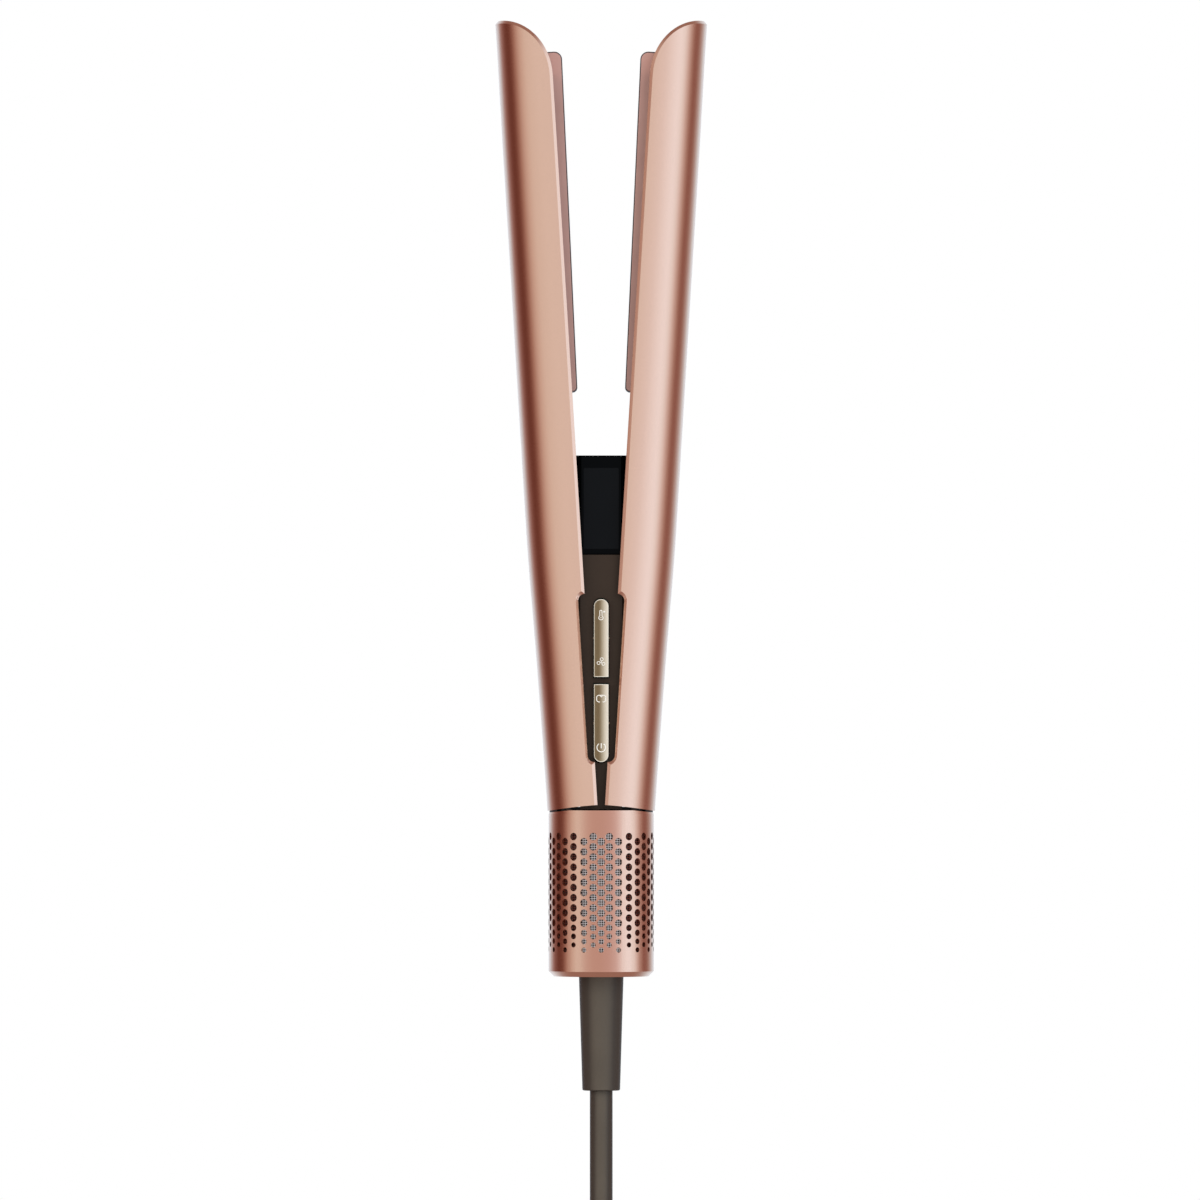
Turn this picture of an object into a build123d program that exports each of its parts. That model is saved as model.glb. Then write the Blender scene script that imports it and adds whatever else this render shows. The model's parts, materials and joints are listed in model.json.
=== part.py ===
from build123d import *
import math
import os

# Flat iron that straightens with hot air. Millimetres. +Z runs up the long axis to the arm tips,
# the buttons face -Y and the two arms spread along X. The origin is on the long axis at the
# height of the arm pivots. Arm parts are drawn with the arms parallel, then swung open.

# Arms
TUBE_R = 17.3          # outside of the arms and of the filter cage
SHELL_WALL = 1.4
EDGE_X = 0.82          # flat edge of each half shell, measured from the middle plane
EDGE_BEVEL = 1.0
ARM_SWELL = (          # height, X of the tube's centre
    (0, 0.0), (18, 0.13), (36, 0.35), (54, 0.62), (68, 0.9), (80, 1.18), (90, 1.36), (102, 1.43),
    (125, 1.43), (160, 1.43), (195, 1.43), (230, 1.43), (267, 1.43),
)
TIP_CENTRE = (17.5, 247.0)
TIP_RISE = 19.0
ARM_FOOT_Z = 6.9
ARM_FOOT_R = 134.0
PIVOT_X = 4.5
REST_OPEN = 3.5        # degrees each arm stands open at rest
NOTCH_Z = (21.0, 76.3)
NOTCH_DEPTH = 2.23

# Contact bars on the inner sides of the arms
BAR_Z = (142.7, 254.7)
BAR_FACE_X = (-0.94, -2.58)
BAR_BACK_X = 2.2
BAR_HALF_Y = 9.0
PAD_SKIN = 0.35
LINER_X = (3.4, 4.8)
LINER_Z = (123.0, 252.0)
DUCT_X = 9.5
DUCT_Z = (36.0, 122.9)
BRACKET_SCREW_Z = (15.0, 27.0)

# Middle body between the arms
SPINE_HALF_X = 8.6
SPINE_FLAT_X = 6.9
SPINE_Y = 13.7
SPINE_Z = (5.6, 121.8)
COVER_WALL = 1.8
DISPLAY_Z0 = 89.2
ROCKER_HALF_X = 2.4
ROCKER_LENGTH = 25.5
ROCKER_CENTRES = {"lower": 33.95, "upper": 61.85}
ROCKER_CROWN_Y = -16.4
ROCKER_PIN_Y = -11.0
ROCKER_PIN_R = 0.6
LOCK_Z = 66.0

# Hinge
PIN_R = 1.5
LUG_Y = (9.0, 11.0)
BOSS_R = 3.2
BLOCK_R = 15.6
BLOCK_Z = (-6.0, 4.5)
AIR_BORE_R = 7.0

# Handle end
CAGE_BORE_R = 16.1
CAGE_TOP_Z = 5.3
CAGE_FOOT_Z = -49.4
CAGE_LIP = (4.1, 0.2)   # the top edge is set back: from this height, by this much
CAGE_FLOOR = 1.5
HOLE_ANGLES = (0.0, 8.8, 19.3, 31.8, 43.4, 54.0, 64.4, 74.9, 85.3)   # columns counted from the front
HOLE_TOP_Z = -3.3
HOLE_PITCH = 3.34
HOLE_R = (1.24,) * 9 + (1.07, 0.94, 0.84)
INNER_R = 15.0         # nothing under the filter cage is wider than this
BUCKET_R = 12.0
MOUNT_R = 13.2
POST_X = 14.05
SHAFT_R = 1.0
GUARD_R = (7.4, 6.2)
GUARD_FOOT_Z = -87.0
CORD_R = 3.75
CORD_NECK_R = 3.5      # where the guard is moulded round the cord
CORD_FOOT_Z = -134.0

RUNNING_GAP = 0.04


def block(x0, x1, y0, y1, z0, z1):
    """Box given by its limits."""
    return Pos((x0 + x1) / 2, (y0 + y1) / 2, (z0 + z1) / 2) * Box(x1 - x0, y1 - y0, z1 - z0)


def disc(radius, z0, z1, x=0.0, y=0.0):
    """Upright cylinder given by its end heights."""
    return Pos(x, y, (z0 + z1) / 2) * Cylinder(radius, z1 - z0)


def ring(outer, inner, z0, z1, x=0.0, y=0.0):
    """Upright ring."""
    return disc(outer, z0, z1, x, y) - disc(inner, z0 - 1, z1 + 1, x, y)


def rod_y(radius, y0, y1, x, z):
    """Cylinder lying along Y."""
    return Pos(x, (y0 + y1) / 2, z) * Rot(X=90) * Cylinder(radius, y1 - y0)


def rod_x(radius, x0, x1, y, z):
    """Cylinder lying along X."""
    return Pos((x0 + x1) / 2, y, z) * Rot(Y=90) * Cylinder(radius, x1 - x0)


def side_prism(points, y0, y1):
    """Outline in X and Z carried from y0 to y1."""
    face = Plane.XZ * Polygon(*points)
    return Pos(0, y1, 0) * extrude(face, y1 - y0)


def screw(radius, length, head_radius, head_height):
    """Screw pointing along -Z with its head's top at the origin and a cross recess."""
    body = disc(head_radius, -head_height, 0) + disc(radius, -head_height - length, -head_height)
    recess = block(-0.55, 0.55, -0.16, 0.16, -0.6, 1) + block(-0.16, 0.16, -0.55, 0.55, -0.6, 1)
    return body - recess


def swing_open(piece):
    """Move a right-hand arm piece from the parallel position to the open rest position."""
    return Pos(PIVOT_X, 0, 0) * Rot(Y=REST_OPEN) * Pos(-PIVOT_X, 0, 0) * piece


def to_left(piece):
    """Mirror a right-hand piece to the left."""
    return mirror(piece, about=Plane.YZ)


# ---------------------------------------------------------------- arms

def arm_tube(radius):
    """Swelling round bar that the arm's outside and inside are cut from."""
    return loft([Plane((x, 0, z), x_dir=(-1, 0, 0)) * Circle(radius) for z, x in ARM_SWELL])


def arm_outline():
    """Side view of an arm: straight edge and elliptical tip."""
    far = 24.0
    half_width = TIP_CENTRE[0] - EDGE_X
    with BuildSketch(Plane.XZ) as sketch:
        with BuildLine():
            tip = EllipticalCenterArc(TIP_CENTRE, half_width, TIP_RISE, start_angle=90, arc_size=90)
            Polyline(tip @ 0, (far, (tip @ 0).Y), (far, 0), (EDGE_X, 0), tip @ 1)
        make_face()
    return sketch.sketch


def button_notch():
    """Cutter for the notch beside the buttons: round-ended slot with a bevelled mouth."""
    bevel_y = -TUBE_R + EDGE_BEVEL + 0.05
    middle_z = sum(NOTCH_Z) / 2
    slot = Rot(Z=90) * SlotOverall(NOTCH_Z[1] - NOTCH_Z[0], 2 * NOTCH_DEPTH)
    plane = Plane((EDGE_X, bevel_y, middle_z), x_dir=(1, 0, 0), z_dir=(0, -1, 0))
    mouth = extrude(plane * slot, 2.0, taper=-45)
    throat = extrude(plane * slot, -20.0)
    return mouth + throat


def arm_body():
    """Solid half bar with bevelled edges and the button notch, before it is hollowed."""
    body = (arm_tube(TUBE_R) & extrude(arm_outline(), 20, both=True)).solid()
    rim = [edge for edge in body.edges() if is_outer_rim(edge)]
    body = chamfer(rim, EDGE_BEVEL)
    foot = rod_y(ARM_FOOT_R, -20, 20, 0, ARM_FOOT_Z - ARM_FOOT_R)
    return body - foot - button_notch()


def is_outer_rim(edge):
    """True for the edges where the round outside meets the side outline."""
    middle = edge.position_at(0.5)
    radius = math.hypot(middle.X - tube_centre(middle.Z), middle.Y)
    return radius > TUBE_R - 0.15 and middle.Z > 1


def tube_centre(z):
    """Approximate X of the arm tube's centre at a height."""
    for (z0, x0), (z1, x1) in zip(ARM_SWELL, ARM_SWELL[1:]):
        if z0 <= z <= z1:
            return x0 + (x1 - x0) * (z - z0) / (z1 - z0)
    return ARM_SWELL[-1][1]


def arm_shell():
    """Half shell closed at the tip, with screw bosses for the liner and the bracket."""
    wall = 1.6
    with BuildSketch(Plane.XZ) as sketch:
        with BuildLine():
            tip = EllipticalCenterArc(
                TIP_CENTRE, TIP_CENTRE[0] - EDGE_X - wall, TIP_RISE - wall, start_angle=90, arc_size=90
            )
            corner = tip @ 1
            Polyline(tip @ 0, (24, (tip @ 0).Y), (24, -2), (-4, -2), (-4, corner.Y), corner)
        make_face()
    cavity = arm_tube(TUBE_R - SHELL_WALL) & extrude(sketch.sketch, 20, both=True)
    shell = arm_body() - cavity
    shell -= block(-4, 4.4, -BAR_HALF_Y - 0.4, BAR_HALF_Y + 0.4, 240, BAR_Z[1] + 0.6)
    inside = arm_tube(TUBE_R - SHELL_WALL + 0.3)
    for y in (-12.6, 12.6):
        for z in (134.0, 240.0):
            boss = block(LINER_X[1], 12, y - 1.6, y + 1.6, z - 1.6, z + 1.6) & inside
            shell += boss - rod_x(0.8, 0, 12, y, z)
    for z in BRACKET_SCREW_Z:
        shell -= rod_x(1.03, 12, 17.0, 0, z)
    return shell


def arm_liner():
    """Dark inner wall of the upper arm, with an air slot on each side of the contact bar."""
    inside = arm_tube(TUBE_R - SHELL_WALL - 0.12)
    plate = block(*LINER_X, -16, 16, *LINER_Z) & inside
    ledge = block(LINER_X[0], DUCT_X + 0.4, -16, 16, LINER_Z[0], LINER_Z[0] + 1.4) & inside
    liner = plate + ledge
    for side in (-1, 1):
        slot = block(0, 6, -0.75, 0.75, 147, 247)
        liner -= Pos(0, side * (BAR_HALF_Y + 1.2), 0) * slot
        for z in (134.0, 240.0):
            liner -= rod_x(1.0, 0, 6, side * 12.6, z)
    liner = liner - (block(0, 6, -20, 20, 249.5, 260) - block(0, 6, -BAR_HALF_Y, BAR_HALF_Y, 249, 252))
    for z in (170.0, 228.0):
        liner -= rod_x(2.2 + RUNNING_GAP, 0, 6, 0, z)
    return liner


def bar_outline(inset):
    """Side view of a contact bar, shrunk by the inset on its face and its ends."""
    z0 = BAR_Z[0] + inset
    z1 = BAR_Z[1] - inset
    points = (
        (BAR_FACE_X[0] + inset, z0),
        (BAR_FACE_X[1] + inset, z1),
        (BAR_BACK_X, z1),
        (BAR_BACK_X, z0),
    )
    with BuildSketch(Plane.XZ) as sketch:
        Polygon(*points)
        fillet(min(sketch.vertices(), key=lambda corner: corner.X), 2.6 - inset)
        fillet(min(sketch.vertices(), key=lambda corner: corner.X + corner.Y), 1.6 - inset)
    return sketch.sketch


def contact_bar():
    """Bar body with two guide pegs that run in the liner."""
    body = extrude(bar_outline(PAD_SKIN), BAR_HALF_Y, both=True)
    for z in (170.0, 228.0):
        body += rod_x(2.2, BAR_BACK_X - 0.5, LINER_X[1] + 0.9, 0, z)
    return body


def bar_pad():
    """Thin heatproof skin wrapped round the face and ends of a contact bar."""
    skin = extrude(bar_outline(0), BAR_HALF_Y, both=True)
    return skin - extrude(bar_outline(PAD_SKIN), BAR_HALF_Y + 1, both=True)


def bar_cushions():
    """Four silicone blocks between a contact bar and the liner."""
    cushion = block(BAR_BACK_X, LINER_X[0], -6.5, 6.5, -3.5, 3.5)
    return [Pos(0, 0, z) * cushion for z in (150.0, 186.0, 212.0, 243.0)]


def arm_duct():
    """Channel that carries air up the arm past the middle body."""
    def channel(radius, x, z0, z1):
        return disc(radius, z0, z1, 0.4) & block(x, 20, -20, 20, z0, z1)
    duct = channel(15.3, DUCT_X, *DUCT_Z) - channel(14.5, DUCT_X + 0.8, DUCT_Z[0] - 1, DUCT_Z[1] + 1)
    for z in (52.0, 108.0):
        guides = block(11.2, 15, -8.2, -7.4, z - 2, z + 2) + block(11.2, 15, 7.4, 8.2, z - 2, z + 2)
        duct += guides & disc(15.0, z - 3, z + 3, 0.4)
    return duct


def heater_card():
    """Mica card that carries the heating ribbon."""
    card = block(11.6, 12.2, -7.2, 7.2, 48, 112)
    for i in range(11):
        z = 54.0 + 5.2 * i
        card -= block(11, 13, 6.6, 8, z - 0.5, z + 0.5)
        card -= block(11, 13, -8, -6.6, z - 0.5, z + 0.5)
    return card


def heater_ribbon():
    """Heating ribbon looped round the mica card and joined down its face."""
    ribbon = None
    for i in range(11):
        z = 54.0 + 5.2 * i
        outer = block(11.1, 12.7, -6.9, 6.9, z - 0.4, z + 0.4)
        inner = block(11.35, 12.45, -6.65, 6.65, z - 1, z + 1)
        loop = outer - inner
        ribbon = loop if ribbon is None else ribbon + loop
    step = 5.2
    for i in range(10):
        y = 5.5 if i % 2 else -5.5
        z = 54.0 + step * i
        ribbon += block(12.45, 12.7, y - 0.6, y + 0.6, z, z + step)
    return ribbon


def arm_bracket(with_tooth):
    """Metal foot of an arm: curved plate, two pivot lugs, and a tooth or fork that keeps step."""
    plate = ring(15.6, 14.0, 7.6, 34.0) & block(DUCT_X, 20, -20, 20, 0, 40)
    bracket = plate
    for side in (-1, 1):
        y0, y1 = sorted((side * LUG_Y[0], side * LUG_Y[1]))
        arm = block(PIVOT_X, 11.2, y0, y1, -1.6, 4.2)
        riser = block(DUCT_X, 11.2, y0, y1, -1.6, 20)
        boss = rod_y(BOSS_R, y0, y1, PIVOT_X, 0)
        lug = arm + riser + boss
        if with_tooth:
            lug += block(-0.9, PIVOT_X, y0, y1, -0.85, 0.85)
        else:
            lug += block(-0.4, PIVOT_X, y0, y1, 0.97, 2.2) + block(-0.4, PIVOT_X, y0, y1, -2.2, -0.97)
        bracket += lug
    if not with_tooth:
        bracket -= block(-2, 1.9, -12, 12, -0.97, 0.97)
    for side in (-1, 1):
        bracket -= rod_y(PIN_R + RUNNING_GAP, side * 10 - 3, side * 10 + 3, PIVOT_X, 0)
    for z in BRACKET_SCREW_Z:
        bracket -= rod_x(1.05, 5, 20, 0, z)
    return bracket


def bracket_screws():
    """Two screws through the bracket into the shell."""
    return [Pos(12.8, 0, z) * Rot(Y=-90) * screw(1.0, 3.1, 1.9, 1.0) for z in BRACKET_SCREW_Z]


def liner_screws():
    """Four screws that hold the liner to the shell bosses."""
    screws = []
    for y in (-12.6, 12.6):
        for z in (134.0, 240.0):
            screws.append(Pos(2.3, y, z) * Rot(Y=-90) * screw(0.75, 4.0, 1.7, 1.1))
    return screws


# ---------------------------------------------------------------- middle body

def spine_section(grow=0.0):
    """Outline of the middle body seen from above: flat front and rear with sloping corners."""
    a = SPINE_FLAT_X + grow
    b = SPINE_HALF_X + grow
    y = SPINE_Y + grow
    c = y - 1.7
    points = ((-a, -y), (a, -y), (b, -c), (b, c), (a, y), (-a, y), (-b, c), (-b, -c))
    return Polygon(*points)


def spine_skin(z0, z1):
    """Wall of the middle body between two heights."""
    outer = Pos(0, 0, z0) * extrude(spine_section(), z1 - z0)
    inner = Pos(0, 0, z0 - 1) * extrude(spine_section(-COVER_WALL), z1 - z0 + 2)
    return outer - inner


def side_ports():
    """Openings that let air out of the middle body into the arms."""
    return block(-12, 12, -6.0, 6.0, 12, 30)


def lug_room():
    """Space the arm lugs swing through at the foot of the middle body."""
    corner = block(6.9, 12, -14, 14, 0, 12)
    return block(-12, 12, -11.5, 11.5, 0, 12) + corner + to_left(corner)


def round_one_end(bar, half_x, half_z, corner, end):
    """Round the two corners at one end (+1 upper, -1 lower) of an upright bar."""
    for x in (-1, 1):
        spot = (x * (half_x - corner), end * (half_z - corner))
        square = block(min(0, x * 6), max(0, x * 6), -20, -10, min(0, end * 6), max(0, end * 6))
        bar -= Pos(spot[0], 0, spot[1]) * square - rod_y(corner, -20, -10, *spot)
    return bar


def rocker_slot(end):
    """Opening in the front cover round one rocker, rounded at the same end."""
    half = ROCKER_LENGTH / 2 + 0.4
    opening = block(-ROCKER_HALF_X - 0.25, ROCKER_HALF_X + 0.25, -15, -11.0, -half, half)
    return round_one_end(opening, ROCKER_HALF_X + 0.25, half, 2.55, end)


def front_cover():
    """Front half of the middle body's skin, with the button openings and rocker bearings."""
    cover = spine_skin(SPINE_Z[0], DISPLAY_Z0) & block(-12, 12, -20, -0.1, 0, 200)
    cover -= lug_room() + side_ports()
    for name, z in ROCKER_CENTRES.items():
        cover -= Pos(0, 0, z) * rocker_slot(1 if name == "upper" else -1)
        for side in (-1, 1):
            x0, x1 = sorted((side * 2.75, side * 4.2))
            ear = block(x0, x1, -12.2, -10.1, z - 1.6, z + 1.6)
            cover += ear - rod_x(ROCKER_PIN_R + RUNNING_GAP, -5, 5, ROCKER_PIN_Y, z)
    return cover


def rear_cover():
    """Rear half of the middle body's skin with the top wall and the lock slider's slot."""
    cover = spine_skin(SPINE_Z[0], SPINE_Z[1]) & block(-12, 12, 0.1, 20, 0, 200)
    top = Pos(0, 0, SPINE_Z[1] - 1.2) * extrude(spine_section(), 1.2)
    cover += top & block(-12, 12, -10.0, 20, 0, 200)
    cover -= lug_room() + side_ports()
    cover -= block(-1.5, 1.5, 8, 20, LOCK_Z - 9, LOCK_Z + 5)
    for z in (20.0, 44.0, 92.0, 112.0):
        cover -= rod_y(0.9, 8, 20, 0, z) + rod_y(1.75, SPINE_Y - 1.0, 20, 0, z)
    return cover


def cover_screws():
    """Four screws through the rear cover into the frame."""
    screws = []
    for z in (20.0, 44.0, 92.0, 112.0):
        screws.append(Pos(0, SPINE_Y - 0.1, z) * Rot(X=-90) * screw(0.8, 5.2, 1.6, 0.85))
    return screws


def spine_frame():
    """Boxed inner frame: air chamber at the foot, wiring space above, screw posts behind."""
    frame = block(-6.6, 6.6, -8.3, 8.3, BLOCK_Z[1], 120.2)
    frame -= block(-5.4, 5.4, -7.1, 7.1, BLOCK_Z[1] - 1, 33)
    frame -= block(-5.4, 5.4, -7.1, 7.1, 34.2, 119.0)
    frame -= side_ports()
    frame -= block(-4.5, 4.5, -10, -5, 40, 110)
    for z in (20.0, 44.0, 92.0, 112.0):
        frame += rod_y(2.0, 8.0, SPINE_Y - COVER_WALL - 0.1, 0, z)
        frame -= rod_y(0.85, 7.0, 20, 0, z)
    return frame


def display_bezel():
    """Gloss black surround of the display: the top of the front skin."""
    bezel = spine_skin(DISPLAY_Z0, SPINE_Z[1]) & block(-12, 12, -20, -0.1, 0, 200)
    bezel -= block(-SPINE_FLAT_X, SPINE_FLAT_X, -20, -10, 80, 130)
    shelf = block(-6.4, 6.4, -12.6, -11.6, DISPLAY_Z0, DISPLAY_Z0 + 1.0)
    shelf += block(-6.4, 6.4, -12.6, -11.6, SPINE_Z[1] - 1.0, SPINE_Z[1])
    sides = block(-7.4, -6.2, -12.6, -11.6, DISPLAY_Z0, SPINE_Z[1])
    sides += block(6.2, 7.4, -12.6, -11.6, DISPLAY_Z0, SPINE_Z[1])
    return bezel + shelf + sides - block(-12, 12, -10.2, 20, SPINE_Z[1] - 1.3, 130)


def display_glass():
    """Cover glass, a little proud of the front with softened edges."""
    glass = block(-SPINE_FLAT_X + 0.05, SPINE_FLAT_X - 0.05, -14.0, -12.65, DISPLAY_Z0 + 0.05, SPINE_Z[1])
    front = glass.faces().sort_by(Axis.Y)[0]
    return chamfer(front.edges(), 0.3)


def display_module():
    """Display panel behind the glass with its connector."""
    panel = block(-6.1, 6.1, -12.6, -10.6, DISPLAY_Z0 + 1.1, SPINE_Z[1] - 1.4)
    return panel + block(-3, 3, -10.6, -9.9, 96, 99)


def control_board():
    """Control board with a processor and two power parts."""
    board = block(-5.6, 5.6, -9.7, -8.5, 36, 118)
    board += block(-2.5, 2.5, -10.5, -9.7, 78, 83)
    board += block(-4.5, -1.0, -8.5, -7.6, 44, 52)
    board += block(1.0, 4.5, -8.5, -7.6, 44, 52)
    tail = block(-2.2, 2.2, -9.7, -8.5, 22, 36)
    return board + tail


def dome_switches():
    """Four snap domes, two under each rocker."""
    domes = []
    for centre in ROCKER_CENTRES.values():
        for offset in (-9.5, 9.5):
            base = Pos(0, 0, centre + offset) * block(-1.9, 1.9, -10.5, -9.7, -1.9, 1.9)
            domes.append(base + rod_y(1.3, -11.3, -10.4, 0, centre + offset))
    return domes


def rocker(round_end):
    """Long convex button centred on its pin, with one rounded end (+1 upper end, -1 lower)."""
    half = ROCKER_LENGTH / 2
    crown_r = 3.4
    key = block(-ROCKER_HALF_X, ROCKER_HALF_X, -18, -12.0, -half, half)
    key &= disc(crown_r, -20, 20, 0, ROCKER_CROWN_Y + crown_r) + block(-5, 5, -14.2, -11, -20, 20)
    key = round_one_end(key, ROCKER_HALF_X, half, 2.3, round_end)
    stem = block(-1.6, 1.6, -12.2, -10.4, -1.4, 1.4)
    pin = rod_x(ROCKER_PIN_R, -4.0, 4.0, ROCKER_PIN_Y, 0)
    feet = block(-1.0, 1.0, -12.2, -11.75, 8.7, 10.3) + block(-1.0, 1.0, -12.2, -11.75, -10.3, -8.7)
    return key + stem + pin + feet


def lock_slider():
    """Slider on the back: ribbed thumb pad, neck through the slot, plate behind the wall."""
    pad = block(-2.8, 2.8, SPINE_Y + 0.05, SPINE_Y + 1.7, LOCK_Z - 4.5, LOCK_Z + 4.5)
    for i in range(5):
        z = LOCK_Z - 3.2 + 1.6 * i
        pad -= block(-4, 4, SPINE_Y + 1.35, SPINE_Y + 3, z - 0.35, z + 0.35)
    neck = block(-1.45, 1.45, 10.6, SPINE_Y + 0.1, LOCK_Z - 4.0, LOCK_Z + 4.0)
    plate = block(-3.4, 3.4, 10.3, 11.85, LOCK_Z - 4.4, LOCK_Z + 4.4)
    return pad + neck + plate


# ---------------------------------------------------------------- hinge

def hinge_block():
    """Block that carries the pivots and passes the air, with a pad under each arm and a skirt below."""
    z0, z1 = BLOCK_Z
    body = disc(BLOCK_R, z0, z1) + ring(INNER_R - 0.1, MOUNT_R, -12, z0)
    body -= disc(AIR_BORE_R, z0 - 1, z1 + 1)
    pad = block(6.65, 16, -8.7, 8.7, z1 - 1, 6.2) & disc(BLOCK_R, z1 - 1, 7)
    lip = side_prism(((14.5, 4.87), (17.2, 4.55), (17.2, 5.0), (14.5, 5.49)), -8.7, 8.7) & disc(17.0, 4, 6)
    body += pad + lip + to_left(pad + lip)
    slot = block(-20, 20, LUG_Y[0] - 0.12, LUG_Y[1] + 0.12, -3.6, 7)
    body -= slot + Pos(0, -LUG_Y[0] - LUG_Y[1], 0) * slot
    for x in (-PIVOT_X, PIVOT_X):
        body -= block(x - 2.4, x + 2.4, -13.3, -LUG_Y[1], -2.4, z1 + 1)
        for side in (-1, 1):
            body -= rod_y(PIN_R, min(side * 7.6, side * 14.2), max(side * 7.6, side * 14.2), x, 0)
    for i in range(4):
        turn = Rot(Z=90 * i)
        body -= turn * disc(0.54, -13, z1 + 1, POST_X) + turn * disc(1.15, z1 - 1.0, 7, POST_X)
    return body


def hinge_pins():
    """Two pins for each arm."""
    pins = []
    for x in (-PIVOT_X, PIVOT_X):
        for side in (-1, 1):
            pin = rod_y(PIN_R, min(side * 7.6, side * 14.2), max(side * 7.6, side * 14.2), x, 0)
            pins.append(pin)
    return pins


def opening_spring():
    """Torsion spring round the right front pin, with two straight legs."""
    wire_r = 0.3
    pitch = 0.66
    leg = 1.6
    coil = Helix(pitch, 1.75 * pitch, 1.9)
    first = Edge.make_line(coil @ 0 - (coil % 0) * leg, coil @ 0)
    last = Edge.make_line(coil @ 1, coil @ 1 + (coil % 1) * leg)
    path = Wire([first, coil.edge(), last])
    spring = sweep(Plane(path @ 0, z_dir=path % 0) * Circle(wire_r), path, is_frenet=True)
    return Pos(PIVOT_X, -11.5, 0) * Rot(X=90) * spring


# ---------------------------------------------------------------- handle end

def filter_cage():
    """Perforated cup that slides off down the cord."""
    cage = disc(TUBE_R, CAGE_FOOT_Z, CAGE_TOP_Z)
    rim = cage.edges().filter_by(GeomType.CIRCLE).sort_by(Axis.Z)[0]
    cage = chamfer(rim, 1.7)
    cage -= disc(CAGE_BORE_R, CAGE_FOOT_Z + CAGE_FLOOR, CAGE_TOP_Z + 1)
    cage -= disc(7.9, CAGE_FOOT_Z - 1, CAGE_FOOT_Z + CAGE_FLOOR + 1)
    slope = side_prism(((10.5, 5.3), (18.0, 4.4), (18.0, 7.0), (10.5, 7.0)), -20, 20)
    cage -= slope + to_left(slope)
    cage -= ring(TUBE_R + 1, TUBE_R - CAGE_LIP[1], CAGE_LIP[0], CAGE_TOP_Z + 1)
    holes = []
    for column, angle in enumerate(column_angles()):
        drop = 0.0 if column % 2 else HOLE_PITCH / 2
        for row, radius in enumerate(HOLE_R):
            z = HOLE_TOP_Z - drop - HOLE_PITCH * row + row_closeup(row)
            drill = Pos(16.8, 0, 0) * Rot(Y=90) * Cylinder(radius, 3.2)
            holes.append(Pos(0, 0, z) * Rot(Z=angle) * drill)
    return cage - holes


def column_angles():
    """Angle of each hole column, once round from the front; the rear half mirrors the front."""
    quarter = list(HOLE_ANGLES)
    half = quarter + [180 - angle for angle in reversed(quarter)]
    whole = half + [360 - angle for angle in reversed(half[1:-1])]
    return [angle - 90 for angle in whole]


def row_closeup(row):
    """The last, smaller rows sit closer together."""
    return (0.0, 0.12, 0.66, 1.2)[max(0, row - 8)]


def mesh_frame():
    """Plastic rings and ribs that hold the filter gauze inside the cage."""
    frame = ring(16.0, 15.75, -46.5, -45.0) + ring(16.0, 15.75, -7.6, -6.3)
    frame += ring(15.95, INNER_R + 0.15, -47.6, -46.3)
    frame += ring(15.95, INNER_R + 0.15, -7.6, -6.4)
    for i in range(6):
        rib = block(15.3, 15.75, -0.5, 0.5, -46.5, -7.5)
        frame += Rot(Z=30 + 60 * i) * rib
    return frame


def filter_gauze():
    """Fine metal gauze sleeve between the cage and the frame's ribs."""
    return ring(15.98, 15.80, -44.9, -7.7)


def handle_frame():
    """Floor of the handle with four posts up to the hinge block."""
    frame = disc(INNER_R, -47.4, -45.0) - disc(6.1, -48, -44)
    for i in range(4):
        post = block(13.2, 14.85, -1.6, 1.6, -45.2, -12.0) - disc(0.52, -17, -11, POST_X)
        frame += Rot(Z=90 * i) * post
    return frame


def motor_mount():
    """Rubber sleeve between the motor bucket and the hinge block."""
    grooves = [Rot(Z=30 * i) * disc(0.3, -12, -8, 12.6) for i in range(12)]
    return ring(MOUNT_R, BUCKET_R, -11.6, -6.1) - grooves


def motor_bucket():
    """Tube round the motor with an inlet mouth below and a bearing spider above."""
    bucket = ring(BUCKET_R, 11.0, -40.0, -6.6)
    bucket += ring(BUCKET_R, 9.4, -40.0, -38.8)
    bucket += ring(BUCKET_R, 9.0, -7.8, -6.6)
    spider = ring(4.0, 2.5, -14.4, -12.0)
    for i in range(4):
        spider += Rot(Z=90 * i) * block(3.6, 11.4, -0.7, 0.7, -14.0, -12.4)
    return bucket + spider


def diffuser():
    """Fixed vanes above the impeller, with the lower bearing seat."""
    part = ring(4.6, 2.5, -30.4, -28.0) + ring(10.95, 10.2, -30.4, -28.0)
    for i in range(7):
        part += Rot(Z=360 * i / 7) * Pos(7.4, 0, -29.2) * Rot(X=35) * Box(6.2, 0.8, 2.0)
    return part & ring(10.95, 2.5, -30.4, -28.0)


def stator():
    """Laminated ring with four poles and their windings."""
    core = ring(10.9, 9.0, -27.0, -16.0)
    for i in range(4):
        turn = Rot(Z=45 + 90 * i)
        core += turn * block(4.2, 9.4, -1.5, 1.5, -27.0, -16.0)
        core += turn * block(5.4, 8.6, -2.6, 2.6, -27.8, -15.2)
    return core - disc(3.7, -30, -12)


def rotor_magnet():
    """Magnet on the motor shaft."""
    return ring(3.4, SHAFT_R, -26.8, -16.2)


def motor_shaft():
    """Motor shaft."""
    shaft = disc(SHAFT_R, -37.6, -11.4)
    return chamfer(shaft.edges().filter_by(GeomType.CIRCLE), 0.2)


def impeller():
    """Axial impeller with nine pitched blades."""
    hub = disc(4.4, -37.0, -31.2)
    hub = chamfer(hub.edges().filter_by(GeomType.CIRCLE).sort_by(Axis.Z)[0], 2.2)
    for i in range(9):
        hub += Rot(Z=40 * i) * Pos(7.2, 0, -33.4) * Rot(X=-38) * Box(6.9, 0.7, 4.6)
    wheel = hub & disc(10.5, -37.0, -31.2)
    return wheel - disc(SHAFT_R, -40, -30)


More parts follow.
